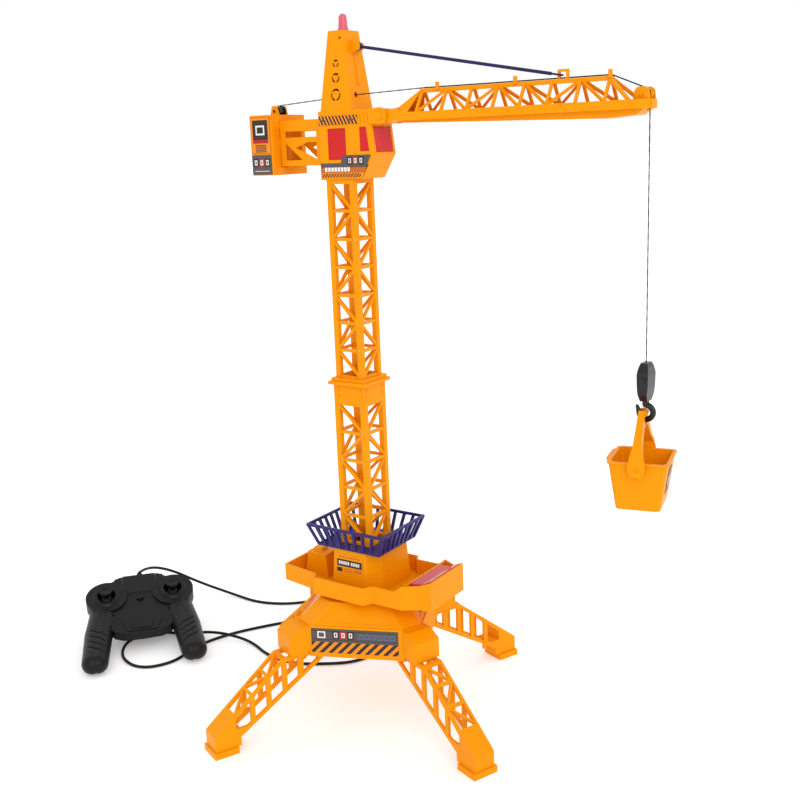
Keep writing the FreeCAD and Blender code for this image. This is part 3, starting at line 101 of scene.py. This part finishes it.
def grained(mat, scale, depth, low_rough, high_rough):
    """Fine moulding texture and slightly uneven gloss."""
    tree = mat.node_tree
    shader = tree.nodes["Principled BSDF"]
    noise = object_noise(tree, scale, 4.0)
    bump = tree.nodes.new("ShaderNodeBump")
    bump.inputs["Strength"].default_value = 0.25
    bump.inputs["Distance"].default_value = depth
    tree.links.new(noise.outputs["Fac"], bump.inputs["Height"])
    tree.links.new(bump.outputs["Normal"], shader.inputs["Normal"])
    span = tree.nodes.new("ShaderNodeMapRange")
    span.inputs["To Min"].default_value = low_rough
    span.inputs["To Max"].default_value = high_rough
    tree.links.new(noise.outputs["Fac"], span.inputs["Value"])
    tree.links.new(span.outputs["Result"], shader.inputs["Roughness"])
    return mat


def tinted(mat, first, second, scale, low=0.35, high=0.65):
    """Slow drift between two colours."""
    tree = mat.node_tree
    shader = tree.nodes["Principled BSDF"]
    noise = object_noise(tree, scale, 2.0)
    ramp = tree.nodes.new("ShaderNodeValToRGB")
    ramp.color_ramp.elements[0].position = low
    ramp.color_ramp.elements[0].color = (*first, 1.0)
    ramp.color_ramp.elements[1].position = high
    ramp.color_ramp.elements[1].color = (*second, 1.0)
    tree.links.new(noise.outputs["Fac"], ramp.inputs["Fac"])
    tree.links.new(ramp.outputs["Color"], shader.inputs["Base Color"])
    return mat


def glowing_through(mat, weight, radius):
    """Lets light bleed through thin moulded walls."""
    shader = mat.node_tree.nodes["Principled BSDF"]
    shader.inputs["Subsurface Weight"].default_value = weight
    shader.inputs["Subsurface Radius"].default_value = radius
    shader.inputs["Subsurface Scale"].default_value = 0.004
    return mat


yellow = glowing_through(
    tinted(grained(material("moulded_yellow", YELLOW, specular=0.08), 900, 0.00004, 0.28, 0.4),
           YELLOW, YELLOW_DEEP, 6, 0.3, 0.9), 0.05, (1.0, 0.3, 0.02))
navy = grained(material("moulded_navy", NAVY, specular=0.3), 700, 0.00003, 0.3, 0.42)
navy_dark = grained(material("rod_navy", (0.012, 0.01, 0.075), specular=0.25), 700, 0.00003, 0.3, 0.42)
red_window = tinted(grained(material("red_window", RED, 0.12, specular=0.25), 500, 0.00001, 0.08, 0.16),
                    RED, (0.60, 0.014, 0.02), 30, 0.3, 0.8)
pink_lamp = grained(material("pink_lamp", PINK, 0.2, transmission=0.35), 500, 0.00001, 0.12, 0.25)
black_plastic = grained(material("fine_black", BLACK, specular=0.22), 1600, 0.00006, 0.34, 0.5)
black_gloss = grained(material("gloss_black", BLACK, specular=0.4), 600, 0.00002, 0.16, 0.28)
grey_plastic = grained(material("grey_nylon", (0.3, 0.3, 0.31)), 700, 0.00003, 0.4, 0.55)
steel = grained(material("plated_steel", (0.55, 0.55, 0.56), metallic=1.0), 500, 0.00001, 0.2, 0.35)
cable_black = grained(material("cable_sheath", (0.006, 0.006, 0.006), specular=0.2), 900, 0.00003, 0.4, 0.55)
thread_black = grained(material("black_thread", (0.012, 0.012, 0.012), specular=0.1), 1500, 0.00005, 0.7, 0.9)
wire_red = grained(material("wire_red", (0.4, 0.01, 0.01)), 500, 0.00001, 0.4, 0.5)
board_green = grained(material("board_green", (0.02, 0.12, 0.03)), 500, 0.00001, 0.3, 0.5)


def printed(name, colour):
    """Satin printed film."""
    return grained(material(name, colour, specular=0.25), 500, 0.00001, 0.3, 0.4)


label_dark = printed("label_dark", LABEL_DARK)
label_grey = printed("label_grey", LABEL_GREY)
label_rust = printed("label_rust", LABEL_RUST)
label_orange = printed("label_orange", LABEL_ORANGE)
label_white = printed("label_white", WHITE)
label_red = printed("label_red", (0.42, 0.012, 0.012))
label_blue = printed("label_blue", (0.10, 0.12, 0.24))

SLOT_MATERIALS = {
    "yellow_plastic": yellow, "navy_plastic": navy, "navy_rod": navy_dark, "red_window": red_window,
    "pink_lamp": pink_lamp, "black_plastic": black_plastic, "black_gloss": black_gloss,
    "grey_plastic": grey_plastic, "label": label_dark, "steel": steel, "black_cable": cable_black,
    "black_cord": thread_black, "wire": wire_red, "green_board": board_green, "bucket_plastic": yellow,
}

# Rounding of the moulded edges, and what counts as an edge
WELD_DISTANCE = 0.01
EDGE_ANGLE = math.radians(40)
BEVELS = {
    "base_shell": 1.2, "deck_tray": 1.2, "deck_console": 1.5, "pedestal": 1.0, "tower_head": 1.2,
    "cab_left_shell": 0.7, "cab_right_shell": 0.7, "winch_box_front": 0.8, "winch_box_rear": 0.8,
    "counter_jib_frame": 0.4, "jib_truss": 0.35, "mast_lower": 0.5, "mast_upper": 0.5, "railing_basket": 0.35,
    "leg_front_left": 0.5, "leg_front_right": 0.5, "leg_back_left": 0.5, "leg_back_right": 0.5,
    "hook_block": 0.8, "bucket": 0.5, "bucket_bail": 0.6, "tie_rod_bracket": 0.4, "nose_window": 0.8,
    "controller_top_shell": 1.0, "controller_bottom_shell": 1.0, "power_switch": 0.2,
}


def paint_nodes():
    for entry in frame["record"]["subparts"]:
        node = NODES[entry["node"]]
        node.data.materials.clear()
        node.data.materials.append(SLOT_MATERIALS[entry["material_slot"]])


def soften_edges():
    """Rounds the moulded edges without moving any CAD vertex."""
    for name, width in BEVELS.items():
        node = NODES[name]
        weld = node.modifiers.new("weld", "WELD")
        weld.merge_threshold = WELD_DISTANCE * MM
        bevel = node.modifiers.new("round_edges", "BEVEL")
        bevel.width = width * MM
        bevel.segments = 2
        bevel.limit_method = "ANGLE"
        bevel.angle_limit = EDGE_ANGLE
        bevel.harden_normals = False
        bevel.use_clamp_overlap = True


# Mesh helpers

def mesh_object(name, vertices, faces, mat, smooth=False):
    mesh = bpy.data.meshes.new(name)
    mesh.from_pydata([tuple(v) for v in vertices], [], faces)
    mesh.update()
    if smooth:
        mesh.polygons.foreach_set("use_smooth", [True] * len(mesh.polygons))
    obj = bpy.data.objects.new(name, mesh)
    obj.data.materials.append(mat)
    bpy.context.scene.collection.objects.link(obj)
    return obj


LABEL_LIFT = 0.12


class Sheet:
    """Flat printed art on a plane, its layers lifted one above another. flip mirrors it across."""

    def __init__(self, origin, across, up, flip=1):
        self.origin = Vector(origin)
        self.across = Vector(across).normalized()
        self.up = Vector(up).normalized()
        self.flip = flip
        self.normal = self.across.cross(self.up).normalized()
        self.layers = {}

    def polygon(self, points, mat, layer=1):
        vertices, faces = self.layers.setdefault(mat, ([], []))
        start = len(vertices)
        raised = self.normal * LABEL_LIFT * layer
        for u, v in points:
            vertices.append(in_frame(self.origin + self.across * u * self.flip + self.up * v + raised))
        faces.append(list(range(start, len(vertices))))

    def block(self, u0, u1, v0, v1, mat, layer=1):
        self.polygon([(u0, v0), (u1, v0), (u1, v1), (u0, v1)], mat, layer)

    def stripes(self, u0, u1, v0, v1, pitch, mat, layer=1, slant=1.0):
        """Slanted hazard stripes clipped to the block."""
        height = v1 - v0
        count = int((u1 - u0 + height) / pitch) + 2
        for k in range(count):
            left = u0 - height + k * pitch
            corners = [(left, v0), (left + pitch / 2, v0), (left + pitch / 2 + slant * height, v1),
                       (left + slant * height, v1)]
            clipped = clip_across(corners, u0, u1)
            if len(clipped) > 2:
                self.polygon(clipped, mat, layer)

    def build(self, name, body):
        for number, (mat, (vertices, faces)) in enumerate(self.layers.items()):
            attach(mesh_object(f"{name}_{number}", vertices, faces, mat), body)


def clip_across(points, low, high):
    """Cuts a polygon to low <= u <= high."""
    for limit, keep in ((low, 1), (high, -1)):
        result = []
        for (u0, v0), (u1, v1) in zip(points, points[1:] + points[:1]):
            inside0 = keep * (u0 - limit) >= 0
            inside1 = keep * (u1 - limit) >= 0
            if inside0:
                result.append((u0, v0))
            if inside0 != inside1:
                part = (limit - u0) / (u1 - u0)
                result.append((limit, v0 + part * (v1 - v0)))
        points = result
        if not points:
            break
    return points


# Labels

def turned_axes(degrees):
    """The X and Y directions of a part turned about Z."""
    yaw = math.radians(degrees)
    return Vector((math.cos(yaw), math.sin(yaw), 0)), Vector((-math.sin(yaw), math.cos(yaw), 0))


BASE_X, BASE_Y = turned_axes(22.5)
BUCKET_X, BUCKET_Y = turned_axes(12)


def counter_blocks(sheet, left, bottom, size):
    """Three plain dark blocks in a row, each with a pale frame, the middle one red."""
    top = bottom + size * 1.25
    for k, ground in enumerate((label_dark, label_red, label_dark)):
        u = left + k * size * 1.12
        for layer, margin, mat in ((2, 0, ground), (3, 0.24, label_white), (4, 0.4, ground)):
            inset = size * margin
            sheet.block(u + inset, u + size - inset, bottom + inset, top - inset, mat, layer)


def base_front_label():
    sheet = Sheet(BASE_Y * -70.3 + Vector((0, 0, 91.5)), BASE_X, (0, 0, 1))
    sheet.block(-50, 47, 12.5, 28, label_grey)
    sheet.block(-50, 47, 0, 12.5, label_orange)
    sheet.stripes(-50, 47, 0, 12.5, 10.2, label_dark, 2)
    for v in (15.2, 25.2):
        sheet.block(-49, 46, v, v + 0.5, label_dark, 2)
    sheet.block(-43, -34, 17, 25, label_white, 2)
    sheet.block(-41.5, -35.5, 18.5, 23.5, label_grey, 3)
    counter_blocks(sheet, -26, 16.6, 7.4)
    for k in range(6):
        sheet.block(3 + 7 * k, 8.8 + 7 * k, 17.5, 23.6, label_blue, 2)
        sheet.block(4.2 + 7 * k, 7.6 + 7 * k, 19, 22.1, label_grey, 3)
    sheet.build("base_front_art", "base")


def crown_label():
    sheet = Sheet(BASE_X * 64.5 + Vector((0, 0, 125)), BASE_Y, BASE_X * (-20 / 19) + Vector((0, 0, 1)))
    sheet.block(-27.6, 27.6, 0.4, 17.6, label_grey)
    sheet.stripes(-27.6, 27.6, 0.4, 5, 4.6, label_orange, 2)
    for k in range(7):
        sheet.block(-24 + 7 * k, -19 + 7 * k, 7.5, 13.5, label_blue, 2)
    sheet.build("crown_art", "base")


def pedestal_label():
    sheet = Sheet((0, -34.95, 168), (1, 0, 0), (0, 3 / 48, 1))
    sheet.block(-18, 18, 0, 22, yellow)
    for k in range(7):
        sheet.block(-14.5 + 4.2 * k, -11.2 + 4.2 * k, 18.2, 19.8, label_rust, 2)
    sheet.block(-16.8, 16.8, 8, 16, label_dark, 2)
    for k in range(9):
        gap = 1.6 if k > 4 else 0
        sheet.block(-14.4 + 3.0 * k + gap, -12.2 + 3.0 * k + gap, 10.2, 14.0, label_white, 3)
    sheet.block(-16.8, -9.6, 1.6, 6.2, label_dark, 2)
    for v in (2, 3.7, 5.4):
        sheet.block(-8, 5, v, v + 0.7, label_rust, 2)
    for k in range(3):
        sheet.block(7 + 3.3 * k, 9.4 + 3.3 * k, 2.6, 6.6, label_rust, 2)
    sheet.build("pedestal_art", "turntable")


def cab_labels(side):
    """Hazard strip under the roof and the sticker below the windows, on one side of the cab."""
    sheet = Sheet((0, side * 19.3, 598), (-side, 0, 0), (0, 0, 1), -side)
    sheet.block(-22.5, 26.5, 52.6, 62.4, label_orange)
    sheet.stripes(-22.3, 26.3, 53, 62, 4.3, label_dark, 2, slant=-0.5)
    for u in (-20.6, 14.6):
        sheet.block(u, u + 7, 56.4, 58.4, label_grey, 3)
    sheet.polygon([(-22.6, 0), (29.8, 0), (41.4, 22.6), (7.6, 22.6), (3.0, 14.8), (-22.6, 14.8)], label_grey)
    sheet.polygon([(-22.6, 5), (33.0, 5), (35.8, 10.4), (-22.6, 10.4)], label_rust, 2)
    sheet.polygon([(-22.6, 0), (29.8, 0), (33.0, 5), (-22.6, 5)], label_orange, 2)
    sheet.stripes(-21.6, 28.4, 0.6, 4.4, 3.6, label_dark, 3)
    for k in range(8):
        sheet.block(-17 + 4.1 * k, -14 + 4.1 * k, 6.4, 10.6, label_white, 3)
    counter_blocks(sheet, 12, 13.2, 6.2)
    sheet.build(f"cab_art_{'left' if side > 0 else 'right'}", "turntable")


def winch_box_label():
    sheet = Sheet((-93.25, -29.3, 602), (1, 0, 0), (0, 0, 1))
    sheet.block(-13.6, 13.6, 22.6, 60.6, label_rust)
    sheet.block(-12.6, 12.6, 23.4, 59.8, label_orange, 2)
    sheet.block(-10.4, 10.4, 33.6, 57.4, label_dark, 3)
    sheet.block(-10.4, 10.4, 33.6, 37.2, label_red, 4)
    sheet.block(-6, 6, 42, 52, label_white, 4)
    sheet.block(-4.2, 4.2, 43.8, 50.2, label_dark, 5)
    for k in range(5):
        sheet.block(-7.6, 7.6, 24.4 + 1.7 * k, 25.3 + 1.7 * k, label_dark, 3)
    sheet.block(-13.6, 13.6, 1, 21.4, label_grey)
    counter_blocks(sheet, -11.6, 9.2, 7)
    sheet.block(-10, 10, 4.4, 5.0, label_white, 2)
    sheet.build("winch_box_art", "turntable")


def bucket_label():
    lean = 6.8 / 46
    origin = Vector((FALL_X, 0, 305)) + BUCKET_X * (18.37 + lean * 13)
    sheet = Sheet(origin, BUCKET_Y, BUCKET_X * lean + Vector((0, 0, 1)))
    sheet.polygon([(-10, 0), (10, 0), (10, 24), (0, 26), (-10, 24)], label_dark)
    for k in range(4):
        sheet.block(-7.8 + 4 * k, -4.8 + 4 * k, 17.8, 21.4, label_rust, 2)
    sheet.block(-8.6, 8.6, 7.2, 15.6, label_white, 2)
    for k in range(3):
        sheet.block(-7.6, 7.6, 8.4 + 2.4 * k, 9.3 + 2.4 * k, label_grey, 3)
    sheet.block(-8.6, 0, 2.2, 6.4, label_red, 2)
    sheet.build("bucket_art", "bucket")


def paint_labels():
    base_front_label()
    crown_label()
    pedestal_label()
    cab_labels(-1)
    cab_labels(1)
    winch_box_label()
    bucket_label()


# Cords

# The control cable's diameter in metres, and its route from the controller over the floor to the base
CABLE_D = 0.0038
CABLE_ROUTE = [
    (-414.4, 30.6, 65.9), (-429, 58, 62), (-421, 92, 48), (-392, 122, 22), (-352, 148, 2.2),
    (-300, 143, 2), (-256, 162, 2), (-228, 196, 2), (-196, 176, 2), (-206, 134, 2),
    (-240, 90, 2), (-270, 40, 2), (-281, -8, 2), (-272, -52, 2), (-298, -88, 2),
    (-346, -76, 2), (-376, -34, 2), (-356, 4, 2), (-320, 15, 2), (-286, 24, 9.8),
    (-256, 32, 9.8), (-224, 42, 2), (-182, 22, 2), (-138, 20, 2), (-104, 38, 2),
    (-72, 62, 2), (-62, 100, 2), (-24, 104, 14), (-17, 58, 42), (-17, 58, 84),
]


def spline_object(name, points, radius, mat):
    curve = bpy.data.curves.new(name, "CURVE")
    curve.dimensions = "3D"
    spline = curve.splines.new("NURBS")
    spline.points.add(len(points) - 1)
    for place, point in zip(spline.points, points):
        place.co = (*in_frame(point), 1.0)
    spline.order_u = 3
    spline.use_endpoint_u = True
    spline.resolution_u = 12
    curve.bevel_depth = radius
    curve.bevel_resolution = 4
    curve.use_fill_caps = True
    curve.materials.append(mat)
    obj = bpy.data.objects.new(name, curve)
    bpy.context.scene.collection.objects.link(obj)
    return obj


def control_cable():
    cable = spline_object("control_cable_run", CABLE_ROUTE, CABLE_D / 2, cable_black)
    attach(cable, "base")
    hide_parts("control_cable")


THREAD_RADIUS = 0.6
THREAD_STEP = 3.0
THREAD_TWIST = 0.9
THREAD_SIDES = 8


def stations_along(points):
    """Evenly spaced places on the straight runs between points, each with its direction."""
    stations = []
    for start, end in zip(points, points[1:]):
        count = max(2, int((end - start).length / THREAD_STEP))
        stations += [(start.lerp(end, k / count), (end - start).normalized()) for k in range(count)]
    stations.append((points[-1], (points[-1] - points[-2]).normalized()))
    return stations


def thread(name, points):
    """Fine two-ply thread along straight runs, its section turning as it goes."""
    vertices = []
    for number, (place, along) in enumerate(stations_along(points)):
        side = along.cross(Vector((0, 1, 0))).normalized()
        other = along.cross(side)
        turn = THREAD_TWIST * (number + 1)
        for k in range(THREAD_SIDES):
            angle = 2 * math.pi * k / THREAD_SIDES
            reach = THREAD_RADIUS * (0.86 + 0.14 * math.cos(2 * angle))
            around = side * math.cos(angle + turn) + other * math.sin(angle + turn)
            vertices.append(in_frame(place + around * reach))
    faces = []
    for ring in range(0, len(vertices) - THREAD_SIDES, THREAD_SIDES):
        for k in range(THREAD_SIDES):
            a, b = ring + k, ring + (k + 1) % THREAD_SIDES
            faces.append((a, b, b + THREAD_SIDES, a + THREAD_SIDES))
    faces.append(tuple(reversed(range(THREAD_SIDES))))
    faces.append(tuple(range(len(vertices) - THREAD_SIDES, len(vertices))))
    return mesh_object(name, vertices, faces, thread_black, smooth=True)


def hanging_fall():
    """The rope from the tip pulley down to the hook block."""
    fall = thread("hoist_fall", [Vector((FALL_X, 0, 664)), Vector((FALL_X, 0, 424.5))])
    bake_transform(fall)
    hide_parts("hanging_rope")


def rope_over_cab():
    """The rope from the drum, round the guide roller and through the tower head to the jib."""
    roller = Vector((-90, 0, 668.5))
    roller_reach = 5.7
    route = [Vector((-97.2, 0, 632))]
    for k in range(9):
        angle = math.radians(180 - 10.8 * k)
        route.append(roller + Vector((math.cos(angle), 0, math.sin(angle))) * roller_reach)
    route += [Vector((17, -7, 679.8)), Vector((93.6, 2.2, 682.6))]
    over = thread("rope_over_cab_run", route)
    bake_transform(over)
    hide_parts("rope_over_cab")


# Camera, floor and light

CAMERA_AT = Vector((0.6906, -0.9408, 0.6305))
CAMERA_YAW = math.radians(34.148)
CAMERA_PITCH = math.radians(13.186)
CAMERA_ROLL = math.radians(-2.165)
CAMERA_LENS = 49.295


def set_camera():
    level = Vector((-math.sin(CAMERA_YAW), math.cos(CAMERA_YAW), 0))
    forward = level * math.cos(CAMERA_PITCH) - Vector((0, 0, math.sin(CAMERA_PITCH)))
    right = Vector((math.cos(CAMERA_YAW), math.sin(CAMERA_YAW), 0))
    up = right.cross(forward)
    across = right * math.cos(CAMERA_ROLL) + up * math.sin(CAMERA_ROLL)
    above = up * math.cos(CAMERA_ROLL) - right * math.sin(CAMERA_ROLL)
    data = bpy.data.cameras.new("camera")
    data.lens = CAMERA_LENS
    data.sensor_width = 36.0
    data.clip_start = 0.01
    camera = bpy.data.objects.new("camera", data)
    rotation = Matrix((across, above, -forward)).transposed().to_4x4()
    camera.matrix_world = Matrix.Translation(CAMERA_AT + SHIFT * MM) @ rotation
    bpy.context.scene.collection.objects.link(camera)
    bpy.context.scene.camera = camera


def floor_white():
    """White sweep, lit a little from within so that it stays clean under the object."""
    mat = material("floor_white", (0.9, 0.9, 0.9), 0.9, specular=0.1)
    shader = mat.node_tree.nodes["Principled BSDF"]
    shader.inputs["Emission Color"].default_value = (1.0, 1.0, 1.0, 1.0)
    shader.inputs["Emission Strength"].default_value = 0.22
    return mat


def set_floor():
    half = 40.0
    corners = [(-half, -half, 0), (half, -half, 0), (half, half, 0), (-half, half, 0)]
    mesh_object("studio_floor", corners, [(0, 1, 2, 3)], floor_white())


def area_light(name, place, target, size, power):
    data = bpy.data.lights.new(name, "AREA")
    data.shape = "DISK"
    data.size = size
    data.energy = power
    light = bpy.data.objects.new(name, data)
    light.location = place
    light.rotation_euler = (Vector(target) - Vector(place)).to_track_quat("-Z", "Y").to_euler()
    bpy.context.scene.collection.objects.link(light)


def sun_light(heading, height, power, spread):
    data = bpy.data.lights.new("sun", "SUN")
    data.energy = power
    data.angle = math.radians(spread)
    light = bpy.data.objects.new("sun", data)
    level = Vector((math.cos(heading), math.sin(heading), 0))
    way = level * math.cos(height) + Vector((0, 0, math.sin(height)))
    light.rotation_euler = way.to_track_quat("Z", "Y").to_euler()
    bpy.context.scene.collection.objects.link(light)


def set_light():
    world = bpy.data.worlds.new("studio")
    world.use_nodes = True
    background = world.node_tree.nodes["Background"]
    background.inputs["Color"].default_value = (1.0, 1.0, 1.0, 1.0)
    background.inputs["Strength"].default_value = 1.02
    bpy.context.scene.world = world
    bpy.context.scene.view_settings.view_transform = "Standard"
    sun_light(math.radians(-38), math.radians(28), 0.6, 40)
    area_light("key", (1.4, -1.6, 2.0), (0, 0, 0.35), 1.2, 4)


paint_nodes()
soften_edges()
paint_labels()
control_cable()
hanging_fall()
rope_over_cab()
set_camera()
set_floor()
set_light()
